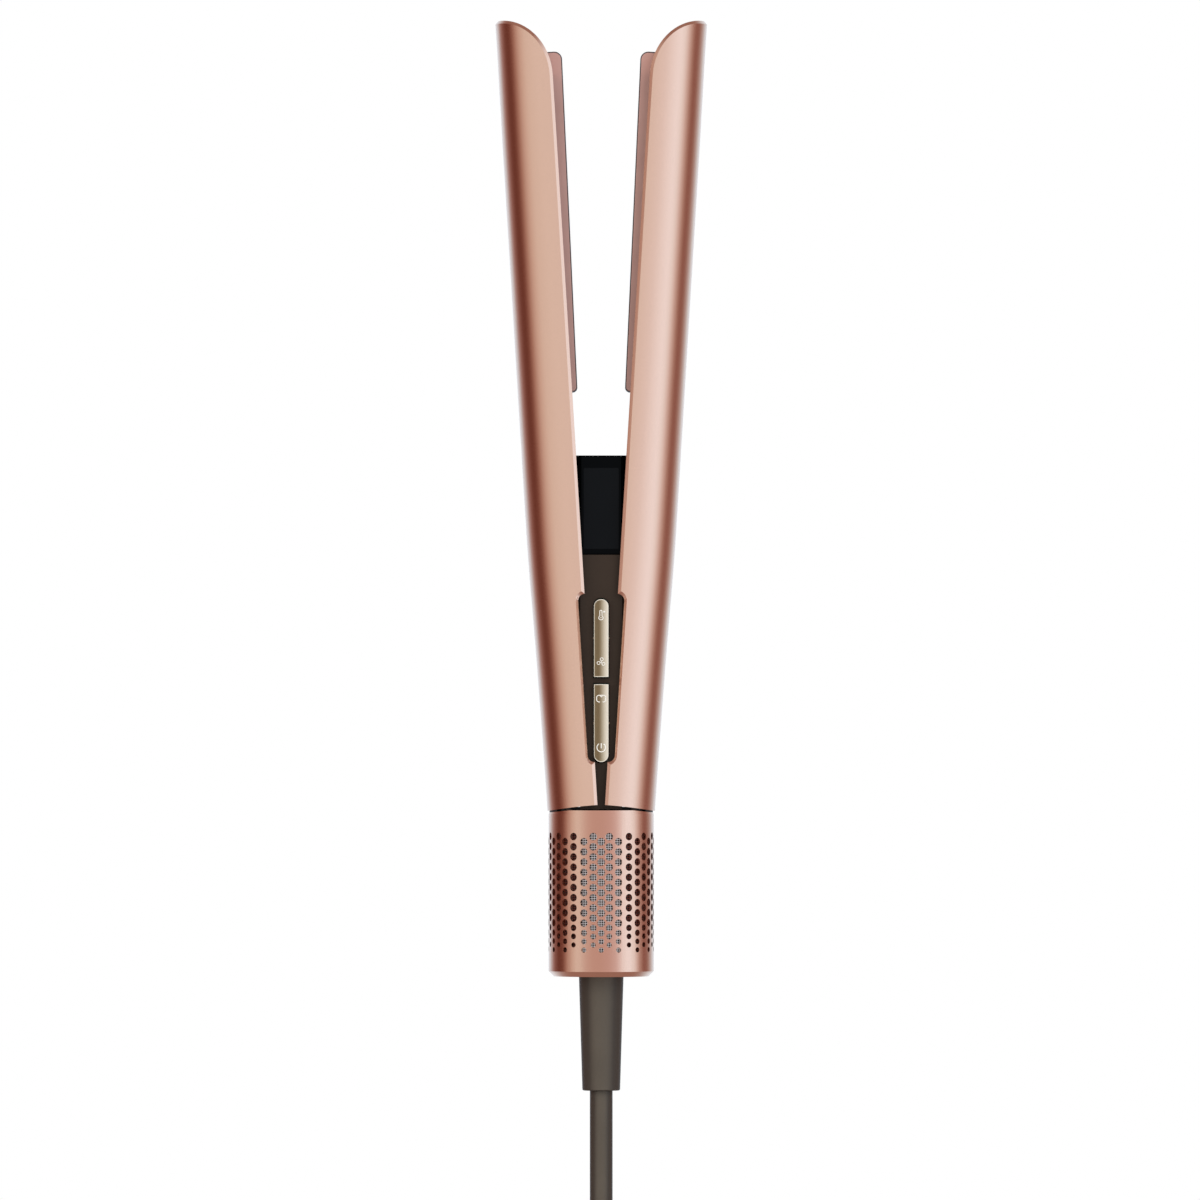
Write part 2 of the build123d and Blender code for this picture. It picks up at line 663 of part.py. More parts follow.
def bearings():
    """Two shaft bearings."""
    lower = ring(2.5, SHAFT_R + RUNNING_GAP, -30.3, -28.1)
    upper = ring(2.5, SHAFT_R + RUNNING_GAP, -14.3, -12.1)
    return [lower, upper]


def frame_screws():
    """Four long screws down through the hinge block into the posts."""
    top = BLOCK_Z[1] - 0.1
    return [Rot(Z=90 * i) * Pos(POST_X, 0, top) * screw(0.5, 19.0, 1.05, 0.8) for i in range(4)]


def cord_guard():
    """Tapered flexible cord guard with a collar clipped through the handle floor."""
    top = Plane((0, 0, CAGE_FOOT_Z + 1.9)) * Circle(GUARD_R[0])
    end = Plane((0, 0, GUARD_FOOT_Z)) * Circle(GUARD_R[1])
    guard = loft([top, end])
    foot = guard.edges().filter_by(GeomType.CIRCLE).sort_by(Axis.Z)[0]
    guard = fillet(foot, 0.5)
    guard += disc(6.0, -47.6, -44.9) + disc(8.2, -44.9, -43.6)
    return guard - disc(CORD_NECK_R + 0.03, GUARD_FOOT_Z - 1, -40)


def cord_jacket():
    """Round cord jacket, slimmer inside the guard and cut off square at its lower end."""
    neck = ring(CORD_NECK_R, 2.6, GUARD_FOOT_Z - 1, -41.6)
    return neck + ring(CORD_R, 2.6, CORD_FOOT_Z, GUARD_FOOT_Z - 0.1)


def cord_cores():
    """Three insulated cores that show at the cut end."""
    cores = []
    for i in range(3):
        angle = math.radians(90 + 120 * i)
        cores.append(disc(1.15, CORD_FOOT_Z - 1.0, -40.9, 1.36 * math.cos(angle), 1.36 * math.sin(angle)))
    return cores


def cord_grip():
    """Clamp ring that holds the jacket above the handle floor."""
    return ring(6.4, CORD_NECK_R, -43.5, -41.8) - block(-1, 1, 3, 8, -44, -41)


# ---------------------------------------------------------------- export

def write_node(name, shape):
    """Write one node: a single solid, or a group of separate solids."""
    solids = []
    for item in shape if isinstance(shape, list) else [shape]:
        solids.extend(item.solids())
    if not isinstance(shape, list) and len(solids) != 1:
        raise ValueError(f"{name} came out as {len(solids)} solids")
    result = solids[0] if len(solids) == 1 else Compound(children=solids)
    result.label = name
    export_step(result, f"parts/{name}.step")
    print(name, len(solids), round(sum(solid.volume for solid in solids), 1))


def arm_nodes():
    """Every piece of the right arm and its mirror image on the left."""
    right = {
        "shell": arm_shell(),
        "liner": arm_liner(),
        "contact_bar": contact_bar(),
        "bar_pad": bar_pad(),
        "bar_cushions": bar_cushions(),
        "duct": arm_duct(),
        "heater_card": heater_card(),
        "heater_ribbon": heater_ribbon(),
        "bracket": arm_bracket(True),
        "bracket_screws": bracket_screws(),
        "liner_screws": liner_screws(),
    }
    nodes = {}
    for name, shape in right.items():
        left = arm_bracket(False) if name == "bracket" else shape
        if isinstance(shape, list):
            nodes["right_" + name] = [swing_open(item) for item in shape]
            nodes["left_" + name] = [to_left(swing_open(item)) for item in left]
        else:
            nodes["right_" + name] = swing_open(shape)
            nodes["left_" + name] = to_left(swing_open(left))
    nodes["right_spring"] = opening_spring()
    nodes["left_spring"] = to_left(opening_spring())
    return nodes


def main():
    os.makedirs("parts", exist_ok=True)
    nodes = arm_nodes()
    nodes["hinge_block"] = hinge_block()
    nodes["hinge_pins"] = hinge_pins()
    nodes["spine_frame"] = spine_frame()
    nodes["front_cover"] = front_cover()
    nodes["rear_cover"] = rear_cover()
    nodes["cover_screws"] = cover_screws()
    nodes["display_bezel"] = display_bezel()
    nodes["display_glass"] = display_glass()
    nodes["display_module"] = display_module()
    nodes["control_board"] = control_board()
    nodes["dome_switches"] = dome_switches()
    nodes["upper_rocker"] = Pos(0, 0, ROCKER_CENTRES["upper"]) * rocker(1)
    nodes["lower_rocker"] = Pos(0, 0, ROCKER_CENTRES["lower"]) * rocker(-1)
    nodes["lock_slider"] = lock_slider()
    nodes["filter_cage"] = filter_cage()
    nodes["mesh_frame"] = mesh_frame()
    nodes["filter_gauze"] = filter_gauze()
    nodes["handle_frame"] = handle_frame()
    nodes["frame_screws"] = frame_screws()
    nodes["motor_mount"] = motor_mount()
    nodes["motor_bucket"] = motor_bucket()
    nodes["diffuser"] = diffuser()
    nodes["stator"] = stator()
    nodes["rotor_magnet"] = rotor_magnet()
    nodes["motor_shaft"] = motor_shaft()
    nodes["impeller"] = impeller()
    nodes["bearings"] = bearings()
    nodes["cord_guard"] = cord_guard()
    nodes["cord_jacket"] = cord_jacket()
    nodes["cord_cores"] = cord_cores()
    nodes["cord_grip"] = cord_grip()
    for name, shape in nodes.items():
        write_node(name, shape)


if __name__ == "__main__":
    main()
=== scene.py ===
import bpy
import json
import math
import numpy as np
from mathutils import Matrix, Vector


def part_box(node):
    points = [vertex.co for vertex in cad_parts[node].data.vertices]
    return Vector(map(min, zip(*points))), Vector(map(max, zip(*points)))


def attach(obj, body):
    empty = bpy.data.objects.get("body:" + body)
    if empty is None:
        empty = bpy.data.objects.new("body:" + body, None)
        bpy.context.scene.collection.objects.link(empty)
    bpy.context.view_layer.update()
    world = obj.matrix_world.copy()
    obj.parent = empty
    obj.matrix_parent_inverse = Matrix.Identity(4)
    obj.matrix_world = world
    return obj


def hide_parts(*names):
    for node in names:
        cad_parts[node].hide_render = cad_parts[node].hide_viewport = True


# Visual model of the hot-air flat iron. Metres, +Z up the long axis, buttons towards -Y.

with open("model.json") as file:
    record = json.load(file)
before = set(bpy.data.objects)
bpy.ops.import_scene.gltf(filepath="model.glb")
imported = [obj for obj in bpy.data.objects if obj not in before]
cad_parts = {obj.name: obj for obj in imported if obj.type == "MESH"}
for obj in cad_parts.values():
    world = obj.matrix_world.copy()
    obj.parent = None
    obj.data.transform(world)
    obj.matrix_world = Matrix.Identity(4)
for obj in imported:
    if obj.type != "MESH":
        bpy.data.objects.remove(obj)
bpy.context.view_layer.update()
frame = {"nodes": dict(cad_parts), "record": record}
nodes = frame["nodes"]

MM = 0.001

# Sizes that the looks share with the part
TUBE_R = 17.3 * MM
ARM_SWELL = (          # (height, how far out the round outside's centre lies) of a closed arm, in mm
    (0, 0.0), (18, 0.13), (36, 0.35), (54, 0.62), (68, 0.9), (80, 1.18), (90, 1.36), (102, 1.43), (267, 1.43),
)
PIVOT_X = 4.5 * MM
REST_OPEN = math.radians(3.5)
BUTTON_HALF_X = 2.4 * MM
BUTTON_HALF_Z = 12.75 * MM
BUTTON_CORNER = 2.3 * MM
BUTTON_Z = {"upper": 61.85 * MM, "lower": 33.95 * MM}
CROWN_Y = -16.4 * MM   # foremost line of the buttons' convex faces
CROWN_R = 3.4 * MM
GLASS_Y = -14.0 * MM
PANEL_HALF_X = 5.8 * MM
PANEL_Z = (91.1 * MM, 117.7 * MM)
PANEL_CORNER = 0.4 * MM
GAUZE_TOP_Z = -1.6 * MM
FLOOR_Z = -136.2 * MM

# Steering of the light: corners flatter than SMOOTH_ANGLE shade as one surface, and each arm's bevels
# (1 is the right arm, -1 the left) take on this much of the round outside's direction
SMOOTH_ANGLE = math.radians(32)
BEVEL_LEAN = {1: 0.2, -1: 0.45}

# How far a button's crown is turned towards the right across its width (mm, degrees), and its rim; these
# turns also set where the buttons' painted sheen goes from shade to highlight
CROWN_X = (-2.4, -0.9, -0.2, 0.5, 1.2, 2.4)
CROWN_TURN = (-42.0, -45.0, -36.0, -18.0, 4.0, 30.0)
RIM_TURN = 27.0

# Line width of the button symbols
STROKE = 0.28 * MM

# Camera: straight on, far away, framed like a product shot
CAMERA_DISTANCE = 6.0
VIEW_HEIGHT = 0.3948
VIEW_CENTRE = (-0.0004, 0.0, 0.07435)

# Light wrapped round the object: (degrees from the front, right positive; colour)
WRAP = (
    (-180, (0.95, 1.05, 1.15)),
    (-158, (0.85, 1.00, 1.15)),
    (-146, (0.72, 0.84, 0.98)),
    (-134, (0.48, 0.38, 0.40)),
    (-124, (0.32, 0.17, 0.16)),
    (-112, (0.18, 0.065, 0.05)),
    (-101, (0.155, 0.05, 0.038)),
    (-92, (0.23, 0.09, 0.07)),
    (-82, (0.46, 0.28, 0.24)),
    (-70, (0.70, 0.58, 0.54)),
    (-55, (0.82, 0.79, 0.77)),
    (-30, (0.86, 0.85, 0.85)),
    (0, (0.85, 0.84, 0.85)),
    (30, (0.92, 0.95, 1.03)),
    (50, (1.03, 1.14, 1.30)),
    (64, (1.08, 1.24, 1.45)),
    (75, (1.00, 1.12, 1.26)),
    (86, (0.76, 0.68, 0.70)),
    (96, (0.48, 0.32, 0.29)),
    (106, (0.30, 0.14, 0.12)),
    (116, (0.31, 0.15, 0.13)),
    (126, (0.42, 0.30, 0.28)),
    (138, (0.60, 0.60, 0.66)),
    (150, (0.78, 0.94, 1.08)),
    (180, (0.95, 1.05, 1.15)),
)
OVERHEAD = (0.38, 0.24, 0.21)


# ---------------------------------------------------------------- material helpers

class Graph:
    """A node tree with short ways to add and join its nodes."""

    def __init__(self, tree):
        self.tree = tree

    def put(self, node, key, value):
        """Join an input to a socket, or set it."""
        if isinstance(value, bpy.types.NodeSocket):
            self.tree.links.new(value, node.inputs[key])
        else:
            node.inputs[key].default_value = value

    def add(self, kind, **inputs):
        """New node with some inputs, whose names have underscores for spaces."""
        node = self.tree.nodes.new(kind)
        for key, value in inputs.items():
            self.put(node, key.replace("_", " "), value)
        return node

    def calculate(self, kind, operation, *values):
        """New math or vector-math node on the values."""
        node = self.tree.nodes.new(kind)
        node.operation = operation
        for index, value in enumerate(values):
            self.put(node, index, value)
        return node

    def remap(self, value, low, high, to_low=0.0, to_high=1.0, soft=False):
        """Map low..high to to_low..to_high, held at both ends and eased in and out if soft."""
        node = self.add("ShaderNodeMapRange", Value=value, To_Min=to_low, To_Max=to_high)
        node.inputs["From Min"].default_value = low
        node.inputs["From Max"].default_value = high
        if soft:
            node.interpolation_type = "SMOOTHSTEP"
        return node.outputs[0]

    def mix(self, factor, first, second):
        """Blend of two colours, each a socket or red, green and blue."""
        node = self.tree.nodes.new("ShaderNodeMix")
        node.data_type = "RGBA"
        self.put(node, 0, factor)
        for index, value in ((6, first), (7, second)):
            is_socket = isinstance(value, bpy.types.NodeSocket)
            self.put(node, index, value if is_socket else (*value, 1.0))
        return node.outputs[2]


class Look(Graph):
    """A new material and its graph."""

    def __init__(self, name):
        self.material = bpy.data.materials.new(name)
        self.material.use_nodes = True
        super().__init__(self.material.node_tree)
        self.bsdf = self.tree.nodes["Principled BSDF"]

    def set(self, **inputs):
        """Inputs of the material's own shader."""
        for key, value in inputs.items():
            self.put(self.bsdf, key.replace("_", " "), value)

    def place(self):
        """Position on the object."""
        return self.add("ShaderNodeTexCoord").outputs["Object"]

    def noise(self, scale, detail=2.0, stretch=(1, 1, 1)):
        """Noise in object space, optionally stretched."""
        mapping = self.add("ShaderNodeMapping", Vector=self.place(), Scale=stretch)
        noise = self.add("ShaderNodeTexNoise", Vector=mapping.outputs[0], Scale=scale, Detail=detail)
        return noise.outputs[0]

    def span(self, noise, low=0.0, high=1.0):
        """Spread a noise's usual values over low..high."""
        return self.remap(noise, 0.3, 0.7, low, high)

    def bump(self, height, strength, distance, edge=0.0):
        """Fine relief, with the part's sharp edges rounded over a small radius for the light."""
        node = self.add("ShaderNodeBump", Height=height, Strength=strength, Distance=distance)
        if edge:
            self.put(node, "Normal", self.add("ShaderNodeBevel", Radius=edge).outputs[0])
        self.set(Normal=node.outputs[0])

    def turned_away(self, low, high, outward=None):
        """0 where the surface, or a stated outward direction, faces the eye; 1 where it has turned away."""
        weight = self.add("ShaderNodeLayerWeight", Blend=0.5)
        if outward:
            self.put(weight, "Normal", outward)
        return self.remap(weight.outputs["Facing"], low, high, soft=True)


def shade(color, amount):
    """A colour made lighter or darker."""
    return tuple(min(1.0, channel * amount) for channel in color)


def pearl_paint(name, color, head_on_shade=None):
    """Satin metallic paint with fine flake grain; if stated, painted shade deepens it where it is seen head
    on.
    """
    m = Look(name)
    grain = m.noise(3200.0)
    grain_and_shade_tint = m.mix(m.span(grain), shade(color, 0.965), shade(color, 1.035))
    # painted shade: the colour deepens where the surface faces the eye
    if head_on_shade:
        grain_and_shade_tint = m.mix(m.turned_away(0.0, 0.12), head_on_shade, grain_and_shade_tint)
    m.set(Base_Color=grain_and_shade_tint, Metallic=1.0, Roughness=m.span(grain, 0.18, 0.22))
    m.bump(grain, 0.05, 0.02 * MM)
    return m.material


def metal(name, color, roughness, brushed=(1, 1, 1)):
    """Bare metal with a brushed or ground grain."""
    m = Look(name)
    grain = m.noise(900.0, stretch=brushed)
    m.set(
        Base_Color=m.mix(m.span(grain), shade(color, 0.9), shade(color, 1.06)),
        Metallic=1.0,
        Roughness=m.span(grain, roughness * 0.8, roughness * 1.25),
    )
    m.bump(grain, 0.08, 0.04 * MM, 0.2 * MM)
    return m.material


def gauze_glow_and_shade_look(name, bright, shade_color):
    """Bright wire with a painted glow, and a painted shade colour where the sleeve has turned away from the
    eye.
    """
    m = Look(name)
    grain = m.noise(3000.0, 1.0)
    level = m.calculate("ShaderNodeVectorMath", "MULTIPLY", m.place(), (1, 1, 0))
    outward = m.calculate("ShaderNodeVectorMath", "NORMALIZE", level.outputs[0])
    # painted shade: where the sleeve turns away from the eye inside the cage
    away = m.turned_away(0.05, 0.12, outward.outputs[0])
    wire = m.mix(m.span(grain), shade(bright, 0.9), bright)
    m.set(
        Base_Color=m.mix(away, wire, shade_color),
        Metallic=m.remap(away, 0.0, 1.0, 0.6, 0.0),
        Roughness=0.35,
        # painted glow: the wire gives off light where it faces the eye
        Emission_Color=(1.0, 1.0, 1.0, 1.0),
        Emission_Strength=m.remap(away, 0.0, 1.0, 0.22, 0.0),
    )
    return m.material


def plastic(name, color, roughness, grain_scale=1500.0, bump=0.12, specular=0.5, sides=None):
    """Moulded plastic or rubber with a spark-eroded grain, faint colour drift and, if stated, painted shade
    on the sides that turn away from the eye.
    """
    m = Look(name)
    grain = m.noise(grain_scale)
    cloud = m.noise(60.0, 3.0)
    drift_and_side_shade = m.mix(m.span(cloud), shade(color, 0.93), shade(color, 1.07))
    # painted shade: sides that turn away from the eye take the darker sides colour
    if sides:
        drift_and_side_shade = m.mix(m.turned_away(0.0, 0.24), drift_and_side_shade, sides)
    m.set(
        Base_Color=drift_and_side_shade,
        Roughness=m.span(grain, roughness * 0.9, roughness * 1.1),
        Specular_IOR_Level=specular,
    )
    m.bump(grain, bump, 0.04 * MM, 0.2 * MM)
    return m.material


def ink_with_painted_glow(name, color, glow, strength):
    """Printed symbol with a small painted glow, so that it reads on metal."""
    material = plastic(name, color, 0.35)
    shader = material.node_tree.nodes["Principled BSDF"]
    # painted glow on the printed symbol
    shader.inputs["Emission Color"].default_value = (*glow, 1.0)
    shader.inputs["Emission Strength"].default_value = strength
    return material


def painted_sheen_look(name, shade_color, light):
    """Anodised metal with a painted sheen: its colour goes from painted shade to painted highlight as the
    surface turns towards the right.
    """
    m = Look(name)
    grain = m.noise(900.0, stretch=(1, 1, 0.05))
    split = m.add("ShaderNodeSeparateXYZ", Vector=m.add("ShaderNodeNewGeometry").outputs["Normal"])
    # painted sheen: the colour runs from shade to highlight by how far the surface turns to the right
    turn = m.remap(split.outputs["X"], -0.71, 0.45)
    m.set(Base_Color=m.mix(turn, shade_color, light), Metallic=0.35, Roughness=m.span(grain, 0.24, 0.34))
    m.bump(grain, 0.08, 0.04 * MM)
    return m.material


def finish_of(node, material):
    """Give a CAD piece its only material."""
    nodes[node].data.materials.clear()
    nodes[node].data.materials.append(material)


ROSE = (0.79, 0.53, 0.41)
# painted shade for the cage's front, where the cage faces the eye
ROSE_HEAD_ON_SHADE = (0.59, 0.30, 0.22)
BRONZE = (0.046, 0.032, 0.023)
RUBBER = (0.104, 0.086, 0.066)
# painted shade for the sides of the rubber guard and cord
RUBBER_SIDE_SHADE = (0.054, 0.043, 0.034)

LOOKS = {
    "copper": pearl_paint("rose_paint", ROSE),
    "copper_cage": pearl_paint("rose_paint_cage_head_on_shade", ROSE, ROSE_HEAD_ON_SHADE),
    "bronze": plastic("bronze_paint", BRONZE, 0.42, specular=0.1),
    "champagne": metal("champagne", (0.68, 0.57, 0.42), 0.24, (1, 1, 0.05)),
    "bar_mauve": plastic("bar_mauve", (0.62, 0.365, 0.31), 0.5),
    "bar_pad": plastic("bar_pad", (0.075, 0.06, 0.062), 0.45),
    "liner": plastic("liner", (0.02, 0.014, 0.014), 0.5),
    "silicone": plastic("silicone", (0.10, 0.08, 0.07), 0.6),
    "duct": plastic("duct", (0.03, 0.027, 0.025), 0.55),
    "mica": plastic("mica", (0.52, 0.44, 0.27), 0.4, 300.0),
    "ribbon": metal("ribbon", (0.42, 0.37, 0.32), 0.35),
    "bracket": metal("bracket", (0.07, 0.055, 0.05), 0.45),
    "screw": metal("screw", (0.35, 0.35, 0.35), 0.32),
    "spring": metal("spring", (0.5, 0.5, 0.5), 0.25),
    "pin": metal("pin", (0.6, 0.6, 0.6), 0.2),
    "block": plastic("block", (0.012, 0.008, 0.008), 0.5),
    "frame": plastic("frame", (0.02, 0.018, 0.018), 0.5),
    "glass": plastic("glass", (0.001, 0.0015, 0.002), 0.12, 200.0, bump=0.0, specular=0.04),
    "bezel": plastic("bezel", (0.001, 0.001, 0.0015), 0.2, 200.0, bump=0.0, specular=0.06),
    "module": plastic("module", (0.02, 0.02, 0.025), 0.2),
    "board": plastic("board", (0.01, 0.09, 0.035), 0.35, 400.0),
    "dome": metal("dome", (0.6, 0.6, 0.58), 0.25),
    "lock": plastic("lock", (0.06, 0.045, 0.036), 0.4),
    "mesh_frame": plastic("mesh_frame", (0.03, 0.012, 0.01), 0.5),
    # gauze: bright wire with a painted glow, and a painted shade colour for the sides that turn away
    "gauze": gauze_glow_and_shade_look("gauze", (0.95, 0.94, 0.95), (0.20, 0.045, 0.028)),
    "bucket": plastic("bucket", (0.02, 0.016, 0.016), 0.5),
    "mount_rubber": plastic("mount_rubber", (0.012, 0.012, 0.012), 0.7),
    "laminate": metal("laminate", (0.30, 0.27, 0.25), 0.45, (1, 1, 14)),
    "magnet": metal("magnet", (0.22, 0.22, 0.24), 0.4),
    "steel": metal("steel", (0.62, 0.62, 0.62), 0.22),
    "impeller": metal("impeller", (0.6, 0.61, 0.62), 0.28),
    "guard": plastic("guard", RUBBER, 0.48, 1200.0, bump=0.1, specular=0.2, sides=RUBBER_SIDE_SHADE),
    "cord": plastic("cord", RUBBER, 0.42, 1600.0, bump=0.1, specular=0.2, sides=RUBBER_SIDE_SHADE),
    "core": plastic("core", (0.20, 0.09, 0.04), 0.4),
    "grip": plastic("grip", (0.015, 0.015, 0.015), 0.5),
}

for entry in frame["record"]["subparts"]:
    finish_of(entry["node"], LOOKS[entry["material_slot"]])


# ---------------------------------------------------------------- clean corner normals

def unit(vectors):
    """Vectors in rows, brought to length 1."""
    return vectors / np.maximum(np.linalg.norm(vectors, axis=1), 1e-12)[:, None]


def face_data(mesh):
    """Vertex positions, corner vertex numbers, corner face numbers, face normals and face areas."""
    positions = np.empty(len(mesh.vertices) * 3)
    mesh.vertices.foreach_get("co", positions)
    corner_vertex = np.empty(len(mesh.loops), int)
    mesh.loops.foreach_get("vertex_index", corner_vertex)
    sizes = np.empty(len(mesh.polygons), int)
    normals = np.empty(len(mesh.polygons) * 3)
    areas = np.empty(len(mesh.polygons))
    mesh.polygons.foreach_get("loop_total", sizes)
    mesh.polygons.foreach_get("normal", normals)
    mesh.polygons.foreach_get("area", areas)
    corner_face = np.repeat(np.arange(len(sizes)), sizes)
    return positions.reshape(-1, 3), corner_vertex, corner_face, normals.reshape(-1, 3), areas


def corner_normals(mesh):
    """At each corner, the mean direction of the faces there that lie within SMOOTH_ANGLE of its own face."""
    positions, corner_vertex, corner_face, normals, areas = face_data(mesh)
    keys = np.round(positions[corner_vertex] / 1e-7).astype(np.int64)
    _, spot = np.unique(keys, axis=0, return_inverse=True)
    spot = spot.ravel()
    order = np.argsort(spot, kind="stable")
    limits = np.flatnonzero(np.diff(spot[order])) + 1
    result = normals[corner_face].copy()
    limit = math.cos(SMOOTH_ANGLE)
    for group in np.split(order, limits):
        own = normals[corner_face[group]]
        weight = areas[corner_face[group]]
        close = (own @ own.T) > limit
        result[group] = close @ (own * weight[:, None])
    result[np.linalg.norm(result, axis=1) < 1e-12] = (0, 0, 1)
    return unit(result), positions[corner_vertex], corner_face, normals


def use_normals(mesh, normals):
    """Shade a mesh with one direction for each corner."""
    mesh.polygons.foreach_set("use_smooth", [True] * len(mesh.polygons))
    mesh.normals_split_custom_set(normals.tolist())


def smooth(name):
    """Clean shading for a CAD piece."""
    mesh = nodes[name].data
    result, _, _, _ = corner_normals(mesh)
    use_normals(mesh, result)


def whole_faces(corners, corner_face):
    """Keep only the corners of faces that have every corner picked."""
    picked = np.ones(corner_face.max() + 1, bool)
    np.logical_and.at(picked, corner_face, corners)
    return picked[corner_face]


def round_outside(points, side):
    """Exact outward directions of an arm's round outside, and the points' distances from its own centre."""
    cos_open = math.cos(REST_OPEN)
    sin_open = math.sin(REST_OPEN)
    x = points[:, 0] * side - PIVOT_X
    z = points[:, 2]
    x_closed = x * cos_open - z * sin_open + PIVOT_X
    z_closed = x * sin_open + z * cos_open
    heights = [height * MM for height, _ in ARM_SWELL]
    centres = [centre * MM for _, centre in ARM_SWELL]
    centre = np.interp(z_closed, heights, centres)
    reach = 6 * MM
    slope = np.interp(z_closed + reach, heights, centres) - np.interp(z_closed - reach, heights, centres)
    slope /= 2 * reach
    radial = np.stack([x_closed - centre, points[:, 1], np.zeros(len(points))], axis=1)
    radius = np.linalg.norm(radial, axis=1)
    radial /= radius[:, None]
    radial[:, 2] = -slope * radial[:, 0]
    turned_x = radial[:, 0] * cos_open + radial[:, 2] * sin_open
    turned_z = -radial[:, 0] * sin_open + radial[:, 2] * cos_open
    return unit(np.stack([turned_x * side, radial[:, 1], turned_z], axis=1)), radius


def smooth_shell(name, side):
    """As smooth(), but an arm's round outside gets its exact normals and its bevels lean forward a little."""
    mesh = nodes[name].data
    result, points, corner_face, face_normals = corner_normals(mesh)
    exact, radius = round_outside(points, side)
    match = np.einsum("ij,ij->i", exact, face_normals[corner_face])
    outside = whole_faces((np.abs(radius - TUBE_R) < 0.15 * MM) & (match > 0.94), corner_face)
    result[outside] = exact[outside]
    bevel = whole_faces((radius > TUBE_R - 1.2 * MM) & (match > 0.6) & (match < 0.8), corner_face)
    result[bevel] += BEVEL_LEAN[side] * exact[bevel]
    use_normals(mesh, unit(result))


for node_name in sorted(nodes):
    if node_name.endswith("_shell"):
        smooth_shell(node_name, 1 if node_name.startswith("right") else -1)
    else:
        smooth(node_name)


# ---------------------------------------------------------------- new pieces

def mesh_piece(name, vertices, faces, material, body, soft=True):
    """Add a mesh that rides on a CAD body."""
    mesh = bpy.data.meshes.new(name)
    mesh.from_pydata([tuple(v) for v in vertices], [], faces)
    mesh.update()
    mesh.polygons.foreach_set("use_smooth", [soft] * len(mesh.polygons))
    mesh.materials.append(material)
    piece = bpy.data.objects.new(name, mesh)
    bpy.context.scene.collection.objects.link(piece)
    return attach(piece, body)


def gather(parts):
    """Join several (vertices, faces) pairs."""
    vertices, faces, start = [], [], 0
    for part_vertices, part_faces in parts:
        vertices.extend(part_vertices)
        faces.extend([tuple(index + start for index in face) for face in part_faces])
        start += len(part_vertices)
    return vertices, faces


def directions_along(points, closed):
    """Direction of a line at each of its points."""
    if closed:
        return unit(np.roll(points, -1, axis=0) - np.roll(points, 1, axis=0))
    return unit(np.gradient(points, axis=0))


def wire_along(points, radius, closed=False):
    """Vertices and faces of a thin wire, square in section, through the points."""
    sides = 4
    points = np.array(points, float)
    count = len(points)
    ahead = directions_along(points, closed)
    across = unit(np.cross(ahead, unit(points * (1, 1, 0))))
    outward = np.cross(across, ahead)
    corners = []
    for i in range(sides):
        angle = 2 * math.pi * i / sides
        corners.append(points + radius * (math.cos(angle) * outward + math.sin(angle) * across))
    vertices = np.stack(corners, axis=1).reshape(-1, 3)
    faces = []
    for i in range(count if closed else count - 1):
        j = (i + 1) % count
        for k in range(sides):
            n = (k + 1) % sides
            faces.append((i * sides + k, i * sides + n, j * sides + n, j * sides + k))
    return vertices, faces


def woven_gauze():
    """Fine woven wire sleeve inside the cage: upright wires and hoops that pass over and under."""
    low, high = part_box("filter_gauze")
    radius = (high.x - low.x) / 2 + 0.04 * MM
    height = GAUZE_TOP_Z - low.z
    wire = 0.1 * MM
    wave = 0.1 * MM
    uprights = 132
    hoops = 58
    parts = []
    for i in range(uprights):
        angle = 2 * math.pi * i / uprights
        points = []
        for j in range(2 * hoops + 1):
            over = (-1) ** ((j - 1) // 2 + i) if j % 2 else 0
            r = radius + wave * over
            points.append((r * math.cos(angle), r * math.sin(angle), low.z + height * j / (2 * hoops)))
        parts.append(wire_along(points, wire))
    for j in range(hoops):
        z = low.z + height * (2 * j + 1) / (2 * hoops)
        points = []
        for i in range(2 * uprights):
            angle = math.pi * i / uprights
            over = 0 if i % 2 else (-1) ** (i // 2 + j)
            r = radius - wave * over
            points.append((r * math.cos(angle), r * math.sin(angle), z))
        parts.append(wire_along(points, wire, closed=True))
    return gather(parts)


gauze = mesh_piece("woven_gauze", *woven_gauze(), LOOKS["gauze"], "filter")
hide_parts("filter_gauze")


def crown_y(x):
    """Y of the convex button face at a distance from the middle."""
    return CROWN_Y + CROWN_R - math.sqrt(CROWN_R**2 - x**2)


def refine(points, closed):
    """Split long steps so that a line follows the crown."""
    step = 0.1 * MM
    ends = points[1:] + points[:1] if closed else points[1:]
    fine = []
    for (x0, z0), (x1, z1) in zip(points, ends):
        pieces = max(1, math.ceil(math.hypot(x1 - x0, z1 - z0) / step))
        fine += [(x0 + (x1 - x0) * i / pieces, z0 + (z1 - z0) * i / pieces) for i in range(pieces)]
    return np.array(fine if closed else fine + [points[-1]], float)


def stroke(points, width, closed=False):
    """Flat raised line on the button crown through (x, z) points."""
    lift = 0.08 * MM
    sink = 0.02 * MM
    line = refine(points, closed)
    ahead = directions_along(line, closed)
    side = np.stack([-ahead[:, 1], ahead[:, 0]], axis=1) * width / 2
    vertices = []
    for point, offset in zip(line, side):
        for x, z in (point - offset, point + offset):
            vertices.append((x, crown_y(x) - lift, z))
            vertices.append((x, crown_y(x) + sink, z))
    count = len(line)
    faces = []
    for i in range(count if closed else count - 1):
        a = 4 * i
        b = 4 * ((i + 1) % count)
        faces += [
            (a, a + 2, b + 2, b),
            (a + 1, b + 1, b + 3, a + 3),
            (a, b, b + 1, a + 1),
            (a + 2, a + 3, b + 3, b + 2),
        ]
    if not closed:
        end = 4 * (count - 1)
        faces += [(0, 1, 3, 2), (end, end + 2, end + 3, end + 1)]
    return vertices, faces


